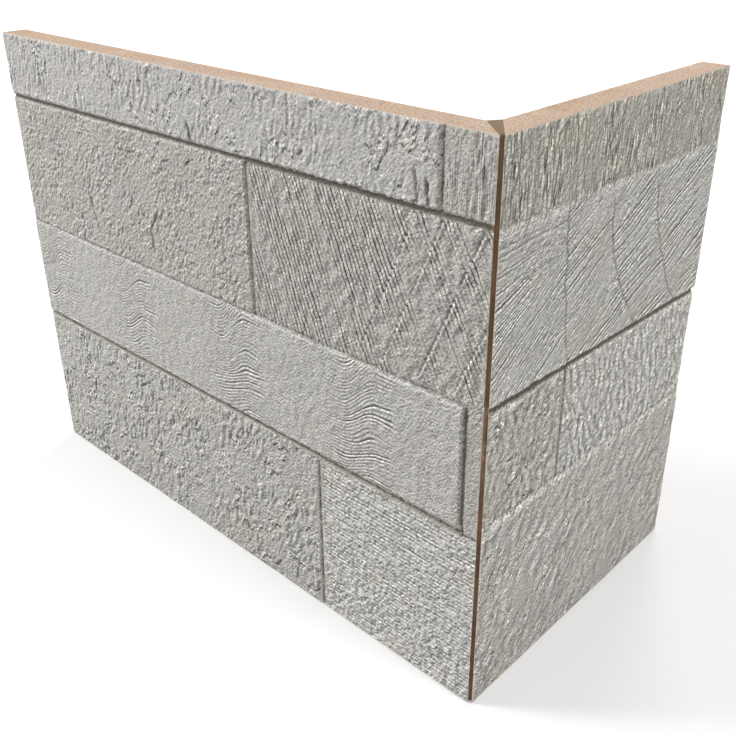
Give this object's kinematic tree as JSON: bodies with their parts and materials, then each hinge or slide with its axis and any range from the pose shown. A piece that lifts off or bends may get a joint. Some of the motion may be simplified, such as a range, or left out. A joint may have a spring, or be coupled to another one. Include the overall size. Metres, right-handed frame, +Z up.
{
  "type": "stone cladding corner piece",
  "caption": "Upright outside-corner piece of stone-look wall cladding: a long and a short tile leaf, mitred and bonded with a dark resin strip, with block relief on the outer faces.",
  "frame": {"origin": "on the ground, under the middle of the overall box", "axes": "+Z up, the long leaf runs along X with its stone face to -Y, the short leaf runs along Y with its stone face to +X"},
  "size_m": [0.393, 0.2, 0.3],
  "materials": {
    "stoneware": "matt grey stone relief on a peach fired body",
    "resin": "dark brown cured resin"
  },
  "bodies": {
    "root": {"long_leaf": "stoneware", "short_leaf": "stoneware", "mitre_filler": "resin"}
  },
  "joints": []
}
